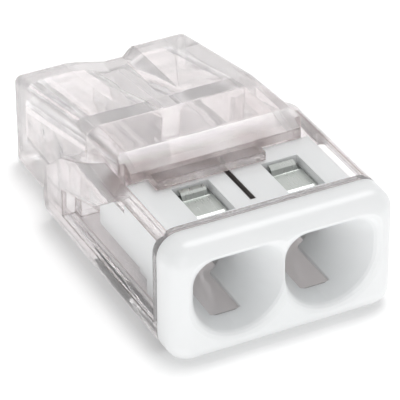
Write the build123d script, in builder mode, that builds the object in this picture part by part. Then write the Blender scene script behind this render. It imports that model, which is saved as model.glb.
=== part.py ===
"""Two-pole push-in wire connector: a clear housing, a white entry cover, a busbar and two leaf-spring clamps.

The wires enter at the front (-Y) through two funnels, pass under the clamp tongues and end in two
closed pockets at the back (+Y). +X is to the right and +Z is up. The origin is at the bottom centre
of the whole object. Lengths are in millimetres, and a depth is measured back from the entry face.
"""

import os
from math import cos, radians, sin, sqrt, tan

from build123d import *

os.makedirs("parts", exist_ok=True)

# Overall sizes
width = 10.0  # over the side panels and the entry face
depth = 17.2  # entry face to closed end
roof_height = 5.88  # raised roof over the clamps
front_height = 5.5  # entry face and side rails
tail_height = 4.3  # closed end, where the roof has sloped down
rear_width = 8.3  # the narrower rear body
corner_radius = 0.95  # long corners of the front half
edge_radius = 0.35  # edges of the rear body

# Poles
pitch = 4.06  # between the two wire axes
floor = 1.0  # the wires run along the housing's floor
bore_radius = 1.18  # guide bore for the bare conductor
wire_height = 2.2  # bore axis
channel_width = 1.36  # flat-bottomed channel along the bottom of the funnel and the bore
channel_start = 1.4
funnel_end = 3.3  # the funnel has narrowed to the bore here
guide_end = 4.05  # the guide bore ends here and the clamp's room starts
cradle_end = 5.6  # side walls half as high as the bore go on to here

# Entry cover
flange_thickness = 1.5
face_round = 0.85  # rounding round the entry face
mouth_width = 4.2
mouth_top = 4.75
mouth_corner = 1.0  # upper corners; the lower ones run into each other
mouth_round = 0.3  # rounding of the funnel's lip
mouth_steps = 16  # bands that the funnel is made of
mouth_curve = 1.35  # power of the funnel's curve
clearance = 0.05  # between the cover and the housing
pad_height = 5.0  # the cover's top face, in the housing's top opening
pad_thickness = 0.42
window_width = 1.65
window_shift = 0.25  # the windows sit this far to the right of the wires
window_start = 2.6
window_end = 5.0
slit_width = 0.26
slit_start = 2.9
slit_depth = 0.3
block_end = 6.05
web = 0.55  # between the two clamp rooms
arm_thickness = 0.45  # latch arms, one on each side
arm_bottom = 1.9
arm_top = 3.7
arm_end = 8.4

# Housing
rim = 0.34  # bar across the top, just behind the flange
rail_width = 0.62
side_wall = 0.75
slope_start = 7.2  # the side panels slope down from here
panel_end = 12.3
panel_back = ((12.3, 2.7), (11.7, 3.1), (10.45, 4.15))  # depths and heights of the slope
window_bottom = 1.3
window_back = ((10.4, 2.6), (8.1, 3.3), (7.1, 3.65), (5.45, 4.85), (5.0, 5.1))
tab_start = 5.15  # roof tab that reaches forward over the cover
tab_left = -3.15
tab_right = 1.75
ledge_start = 6.1
ledge_height = 5.42
crown_start = 7.1
ridge = 10.7  # the roof slopes down from here
ridge_height = 5.6
valley_front = ((-2.1, 0.0), (-1.6, -0.05), (-0.2, -0.05), (0.75, 0.0))  # x, and height over the ridge
valley_back = ((-1.85, 0.0), (0.2, -0.5), (1.1, -0.5), (1.55, 0.0))  # x, and height over the tail
roof_wall = 0.85
back_wall = 0.8
chamber_end = 10.1
slot_end = 10.4  # slots for the latch arms
slot_overlap = 0.35  # the slots run this far into the chamber
pocket_width = 3.2
pocket_end_width = 2.6
pocket_round = 0.6
pocket_step = 0.1  # the pockets start this far under the chamber's ceiling
corner_hole = 0.5
corner_hole_bottom = 4.6

# Clamps and busbar
strip = 0.25
spring_width = 2.2
bend_radius = 0.42
bend_depth = 4.2
leg_height = 4.4
leg_end = 5.75
hook_drop = 0.5
tongue_slope = 34.0
tip_gap = 0.05
bar_start = 6.2
bar_end = 9.4
bar_thickness = 0.4
bar_reach = 0.15  # the busbar ends this far inside the chamber's flanks
bar_corner = 0.4

# Worked out from the values above
front = -depth / 2
poles = (-pitch / 2, pitch / 2)
block_half = width / 2 - side_wall
chamber_half = rear_width / 2 - side_wall
opening_half = width / 2 - rail_width
opening_start = flange_thickness + rim
ceiling = roof_height - roof_wall
sky = roof_height + 1  # cutters that open upwards end here
under = -1  # and those that open downwards here
over = 0.01  # cutters pass a face that they end on by this much
bar_half = chamber_half - bar_reach
spring_centre = leg_height - bend_radius


def at(distance):
    """Y of a point this far behind the entry face."""
    return front + distance


def outline(points):
    """Points of a side view, given as depth and height."""
    return [(at(y), z) for y, z in points]


def block(low, high, mode=Mode.ADD):
    """A box between two corners, each (x, depth, z), in the open builder."""
    centre = [(a + b) / 2 for a, b in zip(low, high)]
    with Locations((centre[0], at(centre[1]), centre[2])):
        Box(*[b - a for a, b in zip(low, high)], mode=mode)


# Housing: the front half, a rounded section cut to the side view
front_side = (
    (flange_thickness, under),
    (panel_end, under),
    *panel_back,
    (slope_start, front_height + over),
    (flange_thickness, front_height + over),
)
with BuildPart() as front_shell:
    with BuildSketch(Plane.XZ.offset(-at(flange_thickness))):
        with Locations((0, front_height / 2)):
            RectangleRounded(width, front_height, corner_radius)
    extrude(amount=-(panel_end - flange_thickness))
    with BuildSketch(Plane.YZ.offset(-width)):
        with BuildLine():
            Polyline(*outline(front_side), close=True)
        make_face()
    extrude(amount=2 * width, mode=Mode.INTERSECT)
    block((-opening_half, opening_start, floor), (opening_half, depth, sky), Mode.SUBTRACT)

# Housing: the rear body, whose roof falls in a valley between the poles
rear_side = (
    (tab_start, 0),
    (depth, 0),
    (depth, tail_height),
    (ridge, ridge_height),
    (crown_start, roof_height),
    (ledge_start, ledge_height),
    (tab_start, ledge_height),
)
with BuildPart() as rear_shell:
    with BuildSketch(Plane.YZ.offset(-rear_width / 2)):
        with BuildLine():
            Polyline(*outline(rear_side), close=True)
        make_face()
    extrude(amount=rear_width)
    crown = at(crown_start) - edge_radius
    fillet([edge for edge in rear_shell.edges() if edge.center().Y > crown], edge_radius)
    for distance, height, points in ((ridge, ridge_height, valley_front), (depth, tail_height, valley_back)):
        with BuildSketch(Plane.XZ.offset(-at(distance))):
            with BuildLine():
                line = [(x, height + z) for x, z in points]
                Polyline(*line, (line[-1][0], sky), (line[0][0], sky), close=True)
            make_face()
    loft(ruled=True, mode=Mode.SUBTRACT)

side_window = (
    (opening_start, window_bottom),
    (slot_end, window_bottom),
    *window_back,
    (opening_start, window_back[-1][1]),
)
with BuildPart() as housing:
    add(front_shell.part)
    add(rear_shell.part)
    # Room for the cover's block, open to the front and to the top
    block((-block_half, 0, floor), (block_half, ledge_start, pad_height + clearance), Mode.SUBTRACT)
    block((-opening_half, opening_start, floor), (opening_half, tab_start, sky), Mode.SUBTRACT)
    for low_x, high_x in ((-opening_half, tab_left), (tab_right, opening_half)):
        block((low_x, opening_start, floor), (high_x, ledge_start, sky), Mode.SUBTRACT)
    # Clamp chamber, and a slot on each side for the cover's latch arm
    block((-chamber_half, 0, floor), (chamber_half, chamber_end, ceiling), Mode.SUBTRACT)
    for side in (-1, 1):
        slot = sorted((side * (chamber_half - slot_overlap), side * block_half))
        block((slot[0], opening_start, floor), (slot[1], slot_end, arm_top + clearance), Mode.SUBTRACT)
        # Side window under the rail, with a tab that hangs down at the back
        with BuildSketch(Plane.YZ.offset(side * (block_half - clearance))):
            with BuildLine():
                Polyline(*outline(side_window), close=True)
            make_face()
        extrude(amount=side * side_wall * 2, mode=Mode.SUBTRACT)
        # Small square hole beside the roof's front corner
        hole = sorted((side * opening_half, side * (opening_half - corner_hole)))
        hole_end = ledge_start + corner_hole
        block((hole[0], ledge_start - over, corner_hole_bottom), (hole[1], hole_end, sky), Mode.SUBTRACT)
    # Seat of the busbar, and the two wire pockets
    seat = bar_half + clearance
    seat_low = (-seat, bar_start - clearance, floor - bar_thickness)
    block(seat_low, (seat, bar_end + clearance, floor), Mode.SUBTRACT)
    pocket_ends = (
        (chamber_end - over, pocket_width, ceiling - pocket_step),
        (depth - back_wall, pocket_end_width, tail_height - roof_wall),
    )
    for x in poles:
        for distance, across, top in pocket_ends:
            with BuildSketch(Plane.XZ.offset(-at(distance))):
                with Locations((x, (floor + top) / 2)):
                    RectangleRounded(across, top - floor, pocket_round)
        loft(mode=Mode.SUBTRACT)
housing.part.label = "housing"

# The space of one wire: a rounded mouth, a funnel, and the guide bore over the housing's floor
bottom = wire_height - bore_radius
nearly_half = 0.4995  # corner radius of a nearly round end, as a share of its width
mouth = (mouth_width, mouth_top, mouth_corner)
throat = (2 * bore_radius, wire_height + bore_radius, 2 * nearly_half * bore_radius)
with BuildPart() as wire_way:
    for step in range(mouth_steps + 1):
        distance = funnel_end * (step / mouth_steps) ** 1.5
        share = 1 - (1 - distance / funnel_end) ** mouth_curve
        across, top, corner = [a + (b - a) * share for a, b in zip(mouth, throat)]
        flare = mouth_round - sqrt(mouth_round**2 - max(mouth_round - distance, 0) ** 2)
        with BuildSketch(Plane.XZ.offset(-at(distance))) as section:
            with Locations((0, (bottom + top) / 2)):
                Rectangle(across + 2 * flare, top - bottom + 2 * flare)
            fillet(section.vertices().group_by(Axis.Y)[0], nearly_half * across + flare)
            fillet(section.vertices().group_by(Axis.Y)[-1], corner + flare)
    loft(ruled=True)
    with BuildSketch(Plane.XZ.offset(-at(funnel_end))):
        with Locations((0, wire_height)):
            Circle(bore_radius)
    extrude(amount=-(guide_end - funnel_end))
    block((-channel_width / 2, channel_start, floor), (channel_width / 2, guide_end, wire_height))

# Entry cover: the flange with its two funnels, and the block behind it
with BuildPart() as entry_cover:
    with BuildSketch(Plane.XZ.offset(-at(0))):
        with Locations((0, front_height / 2)):
            RectangleRounded(width, front_height, corner_radius)
    extrude(amount=-flange_thickness)
    fillet(entry_cover.faces().sort_by(Axis.Y)[0].edges(), face_round)
    inner_half = block_half - clearance
    inside_flange = flange_thickness / 2
    above_floor = floor + clearance
    under_pad = pad_height - pad_thickness
    block((-inner_half, inside_flange, above_floor), (inner_half, guide_end, pad_height))
    block((-inner_half, inside_flange, arm_bottom), (inner_half, block_end, pad_height))
    for side in (-1, 1):
        arm = sorted((side * (inner_half - arm_thickness), side * inner_half))
        block((arm[0], inside_flange, arm_bottom), (arm[1], arm_end, arm_top))
    # Room for the clamps behind the guide bores and over the cradles, and the windows over them
    room = (pitch - web) / 2
    block((-pitch / 2 - room, inside_flange, above_floor), (pitch / 2 + room, cradle_end, pad_height))
    nook = spring_centre - bend_radius - strip / 2 - clearance
    nook_half = spring_width / 2 + clearance
    nook_start = bend_depth - bend_radius - strip / 2 - 2 * clearance
    for x in poles:
        block((x - room, guide_end, wire_height), (x + room, depth, under_pad), Mode.SUBTRACT)
        block((x - room, cradle_end, under), (x + room, depth, under_pad), Mode.SUBTRACT)
        block((x - bore_radius, guide_end, under), (x + bore_radius, depth, under_pad), Mode.SUBTRACT)
        block((x - nook_half, nook_start, nook), (x + nook_half, guide_end + over, under_pad), Mode.SUBTRACT)
        window_middle = x + window_shift
        block(
            (window_middle - window_width / 2, window_start, nook),
            (window_middle + window_width / 2, window_end, sky),
            Mode.SUBTRACT,
        )
        with Locations((x, 0, 0)):
            add(wire_way.part, mode=Mode.SUBTRACT)
    slit = slit_width / 2
    block((-slit, slit_start, pad_height - slit_depth), (slit, depth, sky), Mode.SUBTRACT)
entry_cover.part.label = "entry_cover"

# Busbar: one plate under both clamps, let into the housing's floor
with BuildPart() as busbar:
    block((-bar_half, bar_start, floor - bar_thickness), (bar_half, bar_end, floor))
    fillet(busbar.edges().filter_by(Axis.Z), bar_corner)
busbar.part.label = "busbar"

# Clamps: a leg under the cover's top face, a bend, and a tongue that slopes back and down
centre = (at(bend_depth), spring_centre)
outer, inner = bend_radius + strip / 2, bend_radius - strip / 2
leg_top, leg_under = leg_height + strip / 2, leg_height - strip / 2
leave = 270 - tongue_slope  # angle round the bend at which the tongue leaves it


def on_bend(radius, angle):
    """A point of the bend's side view at this angle."""
    return centre[0] + radius * cos(radians(angle)), centre[1] + radius * sin(radians(angle))


tip_fall = on_bend(outer, leave)[1] - floor - tip_gap
tongue_run = (tip_fall / tan(radians(tongue_slope)), -tip_fall)
clamps = []
for side_name, x in zip(("left", "right"), poles):
    with BuildPart() as anchor:
        with BuildSketch(Plane.YZ.offset(x - spring_width / 2)):
            with BuildLine():
                CenterArc(centre, outer, 90, 90)
                Line(on_bend(outer, 180), on_bend(inner, 180))
                CenterArc(centre, inner, 90, 90)
                Polyline(
                    (centre[0], leg_under),
                    (at(leg_end) - strip, leg_under),
                    (at(leg_end) - strip, leg_under - hook_drop),
                    (at(leg_end), leg_under - hook_drop),
                    (at(leg_end), leg_top),
                    (centre[0], leg_top),
                )
            make_face()
        extrude(amount=spring_width)
    anchor.part.label = f"spring_leg_{side_name}"
    with BuildPart() as tongue:
        with BuildSketch(Plane.YZ.offset(x - spring_width / 2)):
            with BuildLine():
                CenterArc(centre, outer, 180, leave - 180)
                Line(on_bend(outer, 180), on_bend(inner, 180))
                CenterArc(centre, inner, 180, leave - 180)
                low_start, high_start = on_bend(outer, leave), on_bend(inner, leave)
                low_tip, high_tip = [
                    (point[0] + tongue_run[0], point[1] + tongue_run[1]) for point in (low_start, high_start)
                ]
                Polyline(low_start, low_tip, high_tip, high_start)
            make_face()
        extrude(amount=spring_width)
    tongue.part.label = f"spring_tongue_{side_name}"
    clamps += [anchor, tongue]

for piece in (housing, entry_cover, busbar, *clamps):
    export_step(piece.part, f"parts/{piece.part.label}.step")
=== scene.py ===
"""Looks of a two-pole push-in wire connector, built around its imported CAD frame.

The connector has a clear moulded housing, a white moulded entry cover, a tinned busbar and two bent
spring clamps. Everything is in metres, in the frame of the CAD part: wires enter at -Y, +Z is up.
"""

import logging
import math
from dataclasses import dataclass, field
from enum import Enum
from typing import Any, Union

import bmesh
import bpy
from mathutils import Matrix, Vector


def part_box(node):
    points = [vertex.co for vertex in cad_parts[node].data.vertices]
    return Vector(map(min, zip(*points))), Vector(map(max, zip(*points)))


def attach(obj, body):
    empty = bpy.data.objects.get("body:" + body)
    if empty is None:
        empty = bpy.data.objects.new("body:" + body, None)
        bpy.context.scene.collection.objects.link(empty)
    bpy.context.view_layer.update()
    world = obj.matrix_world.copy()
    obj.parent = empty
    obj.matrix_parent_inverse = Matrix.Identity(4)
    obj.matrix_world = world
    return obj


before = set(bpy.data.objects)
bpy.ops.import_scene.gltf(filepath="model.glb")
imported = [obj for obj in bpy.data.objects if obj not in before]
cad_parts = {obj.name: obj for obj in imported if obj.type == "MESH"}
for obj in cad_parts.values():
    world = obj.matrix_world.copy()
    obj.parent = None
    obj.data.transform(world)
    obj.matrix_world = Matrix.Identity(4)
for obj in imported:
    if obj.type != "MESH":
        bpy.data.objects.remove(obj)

LOG = logging.getLogger("connector")
MM = 0.001
EDGE_SAMPLES = 6
CONTACT_SAMPLES = 8
FLAT_TURN = 0.01  # turn of the normal, as 1 - cosine, under which a surface counts as flat

Colour = tuple[float, float, float]


def rgba(colour: Colour) -> tuple[float, float, float, float]:
    """The colour with full alpha."""
    return (*colour, 1.0)


class Value:
    """A shader socket whose arithmetic adds Math nodes.

    Args:
        paint: the tree that the socket belongs to.
        socket: an output socket of that tree.
    """

    def __init__(self, paint: "Paint", socket: bpy.types.NodeSocket) -> None:
        """Keep the tree and the socket."""
        self.paint = paint
        self.socket = socket

    def _math(self, operation: str, *inputs: Union["Value", float]) -> "Value":
        """A Math node on the inputs."""
        return self.paint.node("ShaderNodeMath", {"operation": operation}, dict(enumerate(inputs)))

    def __add__(self, other: Union["Value", float]) -> "Value":
        """This plus the other."""
        return self._math("ADD", self, other)

    __radd__ = __add__

    def __mul__(self, other: Union["Value", float]) -> "Value":
        """This times the other."""
        return self._math("MULTIPLY", self, other)

    __rmul__ = __mul__

    def __sub__(self, other: Union["Value", float]) -> "Value":
        """This minus the other."""
        return self._math("SUBTRACT", self, other)

    def __rsub__(self, other: float) -> "Value":
        """The number minus this."""
        return self._math("SUBTRACT", other, self)

    def under(self, limit: float) -> "Value":
        """1 where this is less than the limit, 0 elsewhere."""
        return self._math("LESS_THAN", self, limit)

    def above(self, limit: float) -> "Value":
        """1 where this is greater than the limit, 0 elsewhere."""
        return self._math("GREATER_THAN", self, limit)

    def spread(self, low: float, high: float, start: float = 0.0, end: float = 1.0) -> "Value":
        """This, mapped from start..end to low..high and held at the ends.

        Args:
            low: result at start.
            high: result at end.
            start: value that gives low.
            end: value that gives high.

        Returns:
            The mapped value.
        """
        ends = {"Value": self, 1: start, 2: end, 3: low, 4: high}
        return self.paint.node("ShaderNodeMapRange", {"clamp": True}, ends)


class Paint:
    """One material's node tree, around a Principled shader.

    Args:
        name: the material's name.
    """

    def __init__(self, name: str) -> None:
        """Make the material with its shader and its object coordinates."""
        self.material = bpy.data.materials.new(name)
        self.material.use_nodes = True
        self.tree = self.material.node_tree
        self.shader = self.tree.nodes["Principled BSDF"]
        coordinates = self.tree.nodes.new("ShaderNodeTexCoord")
        self.place = Value(self, coordinates.outputs["Object"])

    def node(
        self, kind: str, settings: dict[str, Any], inputs: dict[Any, Any], output: Union[int, str] = 0
    ) -> Value:
        """Add a node.

        Args:
            kind: the node's type.
            settings: properties, set before the sockets.
            inputs: values or links, by socket name or number.
            output: the socket to return.

        Returns:
            The output socket, wrapped.
        """
        made = self.tree.nodes.new(kind)
        for key, value in settings.items():
            setattr(made, key, value)
        for key, value in inputs.items():
            if isinstance(value, Value):
                self.tree.links.new(value.socket, made.inputs[key])
            else:
                made.inputs[key].default_value = value
        return Value(self, made.outputs[output])

    def axis(self, name: str) -> Value:
        """One of the object coordinates: X, Y or Z."""
        return self.node("ShaderNodeSeparateXYZ", {}, {"Vector": self.place}, name)

    def stretched(self, scale: tuple[float, float, float]) -> Value:
        """Object coordinates, scaled along each axis."""
        inputs = {"Vector": self.place, "Scale": scale}
        return self.node("ShaderNodeMapping", {"vector_type": "POINT"}, inputs)

    def noise(self, size: float, detail: float = 2.0, where: Union[Value, None] = None) -> Value:
        """Noise from 0 to 1 with features of about this size.

        Args:
            size: feature size, in metres.
            detail: octaves.
            where: coordinates, the object's own if left out.

        Returns:
            The noise value.
        """
        vector = self.place if where is None else where
        inputs = {"Vector": vector, "Scale": 1.0 / size, "Detail": detail}
        return self.node("ShaderNodeTexNoise", {}, inputs, "Fac")

    def blend(self, factor: Union[Value, float], first: Any, second: Any) -> Value:
        """A colour mix of the first and the second.

        Args:
            factor: 0 for the first, 1 for the second.
            first: a colour or a link.
            second: a colour or a link.

        Returns:
            The mixed colour.
        """
        inputs = {"Factor": factor, 6: first, 7: second}
        return self.node("ShaderNodeMix", {"data_type": "RGBA"}, inputs, 2)

    def soft_edges(self, radius: float) -> Value:
        """The normal as if every edge were rounded to this radius, in metres."""
        return self.node("ShaderNodeBevel", {"samples": EDGE_SAMPLES}, {"Radius": radius})

    def openness(self, reach: float) -> Value:
        """1 in the open, towards 0 where other surfaces stand within this reach, in metres."""
        settings = {"samples": CONTACT_SAMPLES}
        return self.node("ShaderNodeAmbientOcclusion", settings, {"Distance": reach}, "AO")

    def edges(self, rounded: Value, sharpest: float) -> Value:
        """A mask of the edges.

        Args:
            rounded: the rounded normal.
            sharpest: turn of the normal, as 1 - cosine, that counts in full.

        Returns:
            0 on the flats, 1 along the edges.
        """
        true_normal = Value(self, self.tree.nodes.new("ShaderNodeNewGeometry").outputs["Normal"])
        normals = {0: rounded, 1: true_normal}
        same = self.node("ShaderNodeVectorMath", {"operation": "DOT_PRODUCT"}, normals, "Value")
        return (1.0 - same).spread(0.0, 1.0, FLAT_TURN, sharpest)

    def relief(self, height: Value, distance: float, base: Union[Value, None] = None) -> Value:
        """A bumped normal.

        Args:
            height: height from 0 to 1.
            distance: real height of the relief, in metres.
            base: the normal that it stands on, the surface's own if left out.

        Returns:
            The normal.
        """
        inputs = {"Distance": distance, "Height": height}
        if base is not None:
            inputs["Normal"] = base
        return self.node("ShaderNodeBump", {}, inputs)

    def set(self, **sockets: Any) -> None:
        """Set or link the shader's sockets.

        Args:
            **sockets: a value or a link for each socket, with _ for a space in its name.
        """
        for key, value in sockets.items():
            socket = self.shader.inputs[key.replace("_", " ")]
            if isinstance(value, Value):
                self.tree.links.new(value.socket, socket)
            else:
                socket.default_value = value


@dataclass(frozen=True)
class ClearPolycarbonate:
    """Water-clear moulded polycarbonate with a faint warm tint, flow waves and fine handling marks, and
    painted shade along its edges and on the roof's front ledge.
    """

    tint: Colour = (0.985, 0.958, 0.965)
    warm: Colour = (0.965, 0.92, 0.92)
    # painted shade for the roof's front ledge
    ledge_painted_shade: Colour = (0.27, 0.195, 0.185)
    # painted shade along the edges, for the dark outlines that refraction gives them
    edge: Colour = (0.24, 0.18, 0.17)
    index: float = 1.585
    clarity: float = 0.93
    body: float = 0.90
    edge_radius: float = 0.09 * MM
    edge_turn: float = 0.05
    ledge: tuple[float, float] = (-3.4 * MM, -1.6 * MM)
    ledge_fade: tuple[float, float] = (0.3 * MM, 0.5 * MM)
    ledge_heights: tuple[float, float] = (4.6 * MM, 5.0 * MM)
    ledge_share: tuple[float, float] = (0.5, 1.0)
    wave_size: float = 2.2 * MM
    wave_height: float = 0.03 * MM
    streak_stretch: tuple[float, float, float] = (1.0, 0.25, 1.0)
    mark_size: float = 0.12 * MM
    gloss: tuple[float, float] = (0.015, 0.06)

    def ledge_mask(self, paint: Paint, flow: Value) -> Value:
        """Where shade is painted on the roof's front ledge, which looks thick and dark.

        Args:
            paint: the material.
            flow: the flow waves, which break the mask up.

        Returns:
            0 away from the ledge, up to 1 on it.
        """
        along, height = paint.axis("Y"), paint.axis("Z")
        (front, back), (before, after) = self.ledge, self.ledge_fade
        mask = along.spread(0.0, 1.0, front - before, front) * along.spread(1.0, 0.0, back - after, back)
        return mask * height.spread(0.0, 1.0, *self.ledge_heights) * flow.spread(*self.ledge_share, 0.35, 0.6)

    def material(self) -> bpy.types.Material:
        """The finished material."""
        paint = Paint("clear_polycarbonate")
        rounded = paint.soft_edges(self.edge_radius)
        flow = paint.noise(self.wave_size, 1.5)
        marks = paint.noise(self.mark_size, 3.0)
        streaks = paint.noise(self.wave_size * 2, 2.0, paint.stretched(self.streak_stretch))
        body = paint.blend(streaks.spread(0.0, 1.0, 0.35, 0.65), rgba(self.tint), rgba(self.warm))
        # painted shade on the roof's front ledge
        body = paint.blend(self.ledge_mask(paint, flow), body, rgba(self.ledge_painted_shade))
        rims = paint.edges(rounded, self.edge_turn)
        paint.set(
            # painted shade along the edges, from the rounded-normal mask
            Base_Color=paint.blend(rims, body, rgba(self.edge)),
            Roughness=marks.spread(*self.gloss, 0.4, 0.75),
            Normal=paint.relief(flow, self.wave_height, rounded),
            IOR=self.index,
            Transmission_Weight=self.clarity,
            Alpha=rims.spread(self.body, 1.0),
        )
        return paint.material


@dataclass(frozen=True)
class WhitePlastic:
    """White moulded plastic with a soft gloss, slight mottling and a fine surface ripple, and painted shade
    in the slit of the cover's top face.
    """

    white: Colour = (0.90, 0.91, 0.915)
    shade: Colour = (0.88, 0.895, 0.90)
    mottle_size: float = 2.5 * MM
    ripple_size: float = 0.35 * MM
    ripple_height: float = 0.0005 * MM
    gloss: tuple[float, float] = (0.29, 0.33)
    index: float = 1.5
    glow: float = 0.3
    glow_depth: float = 1.2 * MM
    coat: float = 0.25
    coat_gloss: float = 0.12
    slit_half: float = 0.135 * MM
    slit_start: float = -5.75 * MM
    slit_heights: tuple[float, float] = (4.5 * MM, 4.96 * MM)
    # painted shade for the slit, standing in for the dark inside of a deeper slot
    slit_painted_shade: Colour = (0.16, 0.145, 0.14)

    def in_slit(self, paint: Paint) -> Value:
        """A mask of the slit along the middle of the cover's top face, where shade is painted dark into the
        colour.
        """
        across, along, height = paint.axis("X"), paint.axis("Y"), paint.axis("Z")
        low, high = self.slit_heights
        inside = (across * across).under(self.slit_half**2)
        return inside * along.above(self.slit_start) * height.above(low) * height.under(high)

    def material(self) -> bpy.types.Material:
        """The finished material."""
        paint = Paint("white_plastic")
        mottle = paint.noise(self.mottle_size, 2.0)
        ripple = paint.noise(self.ripple_size, 2.0)
        body = paint.blend(mottle.spread(0.0, 1.0, 0.3, 0.7), rgba(self.white), rgba(self.shade))
        paint.set(
            # painted shade in the slit: its walls and floor are coloured dark
            Base_Color=paint.blend(self.in_slit(paint), body, rgba(self.slit_painted_shade)),
            Roughness=ripple.spread(*self.gloss, 0.35, 0.65),
            Normal=paint.relief(ripple, self.ripple_height),
            IOR=self.index,
            Subsurface_Weight=self.glow,
            Subsurface_Radius=(1.0, 1.0, 1.0),
            Subsurface_Scale=self.glow_depth,
            Coat_IOR=self.index,
            Coat_Roughness=self.coat_gloss,
            Coat_Weight=self.coat,
        )
        return paint.material


@dataclass(frozen=True)
class RolledMetal:
    """Cold-rolled strip: fine lines along the strip, cloudy roughness and a slight tone change.

    Args:
        name: the material's name.
        bright: main colour.
        dull: colour of the clouds.
        grain: how much the rolling lines are stretched along Y.
    """

    name: str
    bright: Colour
    dull: Colour
    grain: float = 0.06
    line_size: float = 0.09 * MM
    cloud_size: float = 0.9 * MM
    line_height: float = 0.0015 * MM
    gloss: tuple[float, float] = (0.2, 0.42)

    def material(self) -> bpy.types.Material:
        """The finished material."""
        paint = Paint(self.name)
        lines = paint.noise(self.line_size, 3.0, paint.stretched((1.0, self.grain, self.grain)))
        clouds = paint.noise(self.cloud_size, 3.0)
        tone = (clouds * 0.6 + lines * 0.4).spread(0.0, 1.0, 0.35, 0.65)
        paint.set(
            Base_Color=paint.blend(tone, rgba(self.bright), rgba(self.dull)),
            Metallic=1.0,
            Roughness=(clouds * 0.5 + lines * 0.5).spread(*self.gloss, 0.3, 0.7),
            Normal=paint.relief(lines, self.line_height),
        )
        return paint.material


class Finish(Enum):
    """The finishes of the connector's parts."""

    CLEAR = ClearPolycarbonate()
    WHITE = WhitePlastic()
    TIN = RolledMetal("tinned_copper", (0.74, 0.73, 0.70), (0.60, 0.59, 0.57))
    STEEL = RolledMetal("spring_steel", (0.52, 0.54, 0.52), (0.42, 0.44, 0.42))


@dataclass(frozen=True)
class Softbox:
    """A square area light that faces the target.

    Args:
        name: the light's name.
        place: its centre, from the target.
        size: its side.
        power: watts.
    """

    name: str
    place: Vector
    size: float
    power: float

    def hang(self, target: Vector) -> None:
        """Put the light in the scene.

        Args:
            target: the point that it faces.
        """
        light = bpy.data.lights.new(self.name, "AREA")
        light.size = self.size
        light.energy = self.power
        lamp = bpy.data.objects.new(self.name, light)
        lamp.location = target + self.place
        lamp.rotation_euler = self.place.to_track_quat("Z", "Y").to_euler()
        bpy.context.scene.collection.objects.link(lamp)


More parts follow.
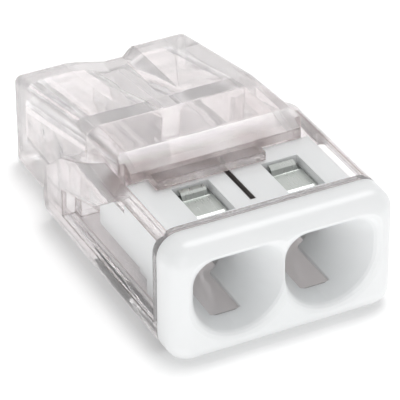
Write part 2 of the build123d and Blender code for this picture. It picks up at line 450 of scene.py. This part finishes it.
@dataclass
class Studio:
    """Floor, lights and camera.

    Args:
        azimuth: camera azimuth in degrees, 0 looking along +Y.
        elevation: camera elevation in degrees.
        roll: camera roll in degrees.
        lens: focal length in millimetres.
        sensor: its width in millimetres.
        clip: nearest and farthest distance that is seen.
        distance: camera to target.
        target: the point at the middle of the view.
        floor_size: side of the floor.
        floor_gap: how far the floor lies under the part.
        floor_colour: colour of the floor.
        floor_gloss: its roughness and its specular level.
        floor_glow: light that the floor gives off.
        contact_reach: the floor is darker where the part is nearer than this.
        contact_shade: how dark the painted contact shadow is, as a share of the floor's colour.
        contact_fade: openness at which it is darkest, and at which it ends.
        world_fill: strength of the surrounding light on matt surfaces.
        world_cards: its strength everywhere else, as white cards seen in gloss and through clear parts.
        softboxes: the lamps.
        bounces: how far light is followed.
    """

    azimuth: float = -26.795
    elevation: float = 33.094
    roll: float = -0.322
    lens: float = 270.27
    sensor: float = 36.0
    clip: tuple[float, float] = (1.0 * MM, 10.0)
    distance: float = 125.125 * MM
    target: Vector = field(default_factory=lambda: Vector((0.326, -0.35, 1.739)) * MM)
    floor_size: float = 2.0
    floor_gap: float = 0.02 * MM
    floor_colour: Colour = (0.95, 0.95, 0.95)
    floor_gloss: tuple[float, float] = (0.9, 0.2)
    floor_glow: float = 0.40
    contact_reach: float = 1.1 * MM
    contact_shade: float = 0.68
    contact_fade: tuple[float, float] = (0.45, 0.95)
    world_fill: float = 0.50
    world_cards: float = 1.0
    softboxes: tuple[Softbox, ...] = (
        Softbox("overhead", Vector((0.10, 0.07, 0.32)), 0.20, 0.42),
        Softbox("front_fill", Vector((-0.14, -0.26, 0.12)), 0.24, 0.18),
    )
    bounces: dict[str, int] = field(
        default_factory=lambda: {
            "max_bounces": 32,
            "transmission_bounces": 32,
            "glossy_bounces": 16,
            "diffuse_bounces": 8,
            "transparent_max_bounces": 32,
        }
    )

    def camera(self) -> None:
        """Place the camera and make it the scene's."""
        turn, rise = math.radians(self.azimuth), math.radians(self.elevation)
        level = math.cos(rise)
        back = Vector((math.sin(turn) * level, -math.cos(turn) * level, math.sin(rise)))
        right = Vector((math.cos(turn), math.sin(turn), 0.0))
        up = back.cross(right)
        spin = math.radians(self.roll)
        across = right * math.cos(spin) + up * math.sin(spin)
        above = up * math.cos(spin) - right * math.sin(spin)
        lens = bpy.data.cameras.new("camera")
        lens.lens = self.lens
        lens.sensor_width = self.sensor
        lens.clip_start, lens.clip_end = self.clip
        camera = bpy.data.objects.new("camera", lens)
        axes = Matrix((across, above, back)).transposed()
        camera.matrix_world = Matrix.Translation(self.target + back * self.distance) @ axes.to_4x4()
        bpy.context.scene.collection.objects.link(camera)
        bpy.context.scene.camera = camera

    def floor(self) -> None:
        """A pale floor with a painted contact shadow, a little darker where the part stands close over it."""
        mesh = bpy.data.meshes.new("floor")
        grid = bmesh.new()
        bmesh.ops.create_grid(grid, size=self.floor_size / 2)
        bmesh.ops.translate(grid, vec=(0.0, 0.0, -self.floor_gap), verts=grid.verts)
        grid.to_mesh(mesh)
        grid.free()
        floor = bpy.data.objects.new("floor", mesh)
        paint = Paint("floor_paint")
        contact = tuple(channel * self.contact_shade for channel in self.floor_colour)
        lit = paint.openness(self.contact_reach).spread(0.0, 1.0, *self.contact_fade)
        # painted contact shadow: the floor's colour and glow darken where the occlusion mask closes in
        tone = paint.blend(lit, rgba(contact), rgba(self.floor_colour))
        rough, specular = self.floor_gloss
        paint.set(
            Base_Color=tone,
            Roughness=rough,
            Specular_IOR_Level=specular,
            Emission_Color=tone,
            Emission_Strength=self.floor_glow,
        )
        mesh.materials.append(paint.material)
        bpy.context.scene.collection.objects.link(floor)

    def world(self) -> None:
        """An even white light all round, with brighter cards to be seen in gloss and through clear parts."""
        world = bpy.data.worlds.new("studio")
        world.use_nodes = True
        tree = world.node_tree
        background = tree.nodes["Background"]
        background.inputs["Color"].default_value = (1.0, 1.0, 1.0, 1.0)
        path = tree.nodes.new("ShaderNodeLightPath")
        strength = tree.nodes.new("ShaderNodeMapRange")
        strength.inputs["To Min"].default_value = self.world_cards
        strength.inputs["To Max"].default_value = self.world_fill
        tree.links.new(path.outputs["Is Diffuse Ray"], strength.inputs["Value"])
        tree.links.new(strength.outputs[0], background.inputs["Strength"])
        bpy.context.scene.world = world

    def build(self) -> None:
        """Set up the whole studio."""
        self.camera()
        self.floor()
        self.world()
        for softbox in self.softboxes:
            softbox.hang(self.target)
        for limit, count in self.bounces.items():
            setattr(bpy.context.scene.cycles, limit, count)
        view = bpy.context.scene.view_settings
        view.view_transform = "Standard"
        view.look = "None"


@dataclass
class WindowPlates:
    """The thin steel contact plates that close the two test windows from below.

    Each lies on its clamp's fixed leg, and its back end is folded up behind the window.

    Args:
        pitch: between the two wires.
        shift: the windows sit this far to the right of the wires.
        width: over the plate.
        lip_width: over the folded end.
        thickness: of the sheet.
        edge_radius: rounding of the sheet's edges.
        rim_angle: in radians; sharper edges than this are rounded.
        profile: depths behind the entry face and heights along the sheet, in millimetres, front to back.
        fold: index of the profile point where the folded end starts.
    """

    pitch: float = 4.06 * MM
    shift: float = 0.25 * MM
    width: float = 1.56 * MM
    lip_width: float = 1.16 * MM
    thickness: float = 0.09 * MM
    edge_radius: float = 0.02 * MM
    rim_angle: float = 1.2
    profile: tuple[tuple[float, float], ...] = (
        (3.10, 4.40),
        (3.17, 4.50),
        (3.30, 4.53),
        (4.50, 4.53),
        (4.58, 4.56),
        (4.66, 4.78),
        (4.72, 4.83),
        (4.93, 4.83),
    )
    fold: int = 3

    def mesh(self, x: float, front: float) -> bpy.types.Mesh:
        """One plate, centred on x.

        Args:
            x: middle of the window.
            front: Y of the entry face.

        Returns:
            The plate's mesh.
        """
        sheet = bmesh.new()
        half = self.width / 2
        line = [sheet.verts.new((x - half, front + y * MM, z * MM)) for y, z in self.profile]
        edges = [sheet.edges.new(pair) for pair in zip(line, line[1:])]
        grown = bmesh.ops.extrude_edge_only(sheet, edges=edges)["geom"]
        far_side = [item for item in grown if isinstance(item, bmesh.types.BMVert)]
        bmesh.ops.translate(sheet, vec=(self.width, 0.0, 0.0), verts=far_side)
        fold_y = front + self.profile[self.fold][0] * MM
        lip = [v for v in sheet.verts if v.co.y > fold_y + self.edge_radius]
        narrowing, middle = (self.lip_width / self.width, 1.0, 1.0), Matrix.Translation((-x, 0.0, 0.0))
        bmesh.ops.scale(sheet, vec=narrowing, space=middle, verts=lip)
        bmesh.ops.recalc_face_normals(sheet, faces=sheet.faces)
        if sum(face.normal.z for face in sheet.faces) < 0:
            bmesh.ops.reverse_faces(sheet, faces=sheet.faces)
        bmesh.ops.solidify(sheet, geom=sheet.faces, thickness=-self.thickness)
        bmesh.ops.recalc_face_normals(sheet, faces=sheet.faces)
        rim = [edge for edge in sheet.edges if edge.is_manifold and edge.calc_face_angle() > self.rim_angle]
        bmesh.ops.bevel(
            sheet, geom=rim, offset=self.edge_radius, segments=2, profile=0.5, affect="EDGES", material=-1
        )
        mesh = bpy.data.meshes.new("window_plate")
        sheet.to_mesh(mesh)
        sheet.free()
        return mesh

    def build(self, steel: bpy.types.Material) -> None:
        """Make both plates.

        Args:
            steel: their finish.
        """
        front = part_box("entry_cover")[0][1]
        for side, sign in (("left", -1), ("right", 1)):
            mesh = self.mesh(sign * self.pitch / 2 + self.shift, front)
            mesh.materials.append(steel)
            plate = bpy.data.objects.new(f"window_plate_{side}", mesh)
            bpy.context.scene.collection.objects.link(plate)
            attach(plate, "root")
            LOG.info("%s on root", plate.name)


@dataclass
class Connector:
    """The connector's own parts and what each is finished in."""

    finishes: dict[str, Finish] = field(
        default_factory=lambda: {
            "housing": Finish.CLEAR,
            "entry_cover": Finish.WHITE,
            "busbar": Finish.TIN,
            "spring_leg_left": Finish.STEEL,
            "spring_leg_right": Finish.STEEL,
            "spring_tongue_left": Finish.STEEL,
            "spring_tongue_right": Finish.STEEL,
        }
    )

    def dress(self) -> None:
        """Give every carried-over node its finish."""
        made = {finish: finish.value.material() for finish in Finish}
        for name, finish in self.finishes.items():
            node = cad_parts[name]
            node.data.materials.clear()
            node.data.materials.append(made[finish])
            LOG.info("%s in %s", name, finish.name.lower())
        WindowPlates().build(made[Finish.STEEL])


def main() -> None:
    """Build the scene."""
    logging.basicConfig(level=logging.INFO)
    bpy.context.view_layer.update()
    Connector().dress()
    Studio().build()


if __name__ == "__main__":
    main()
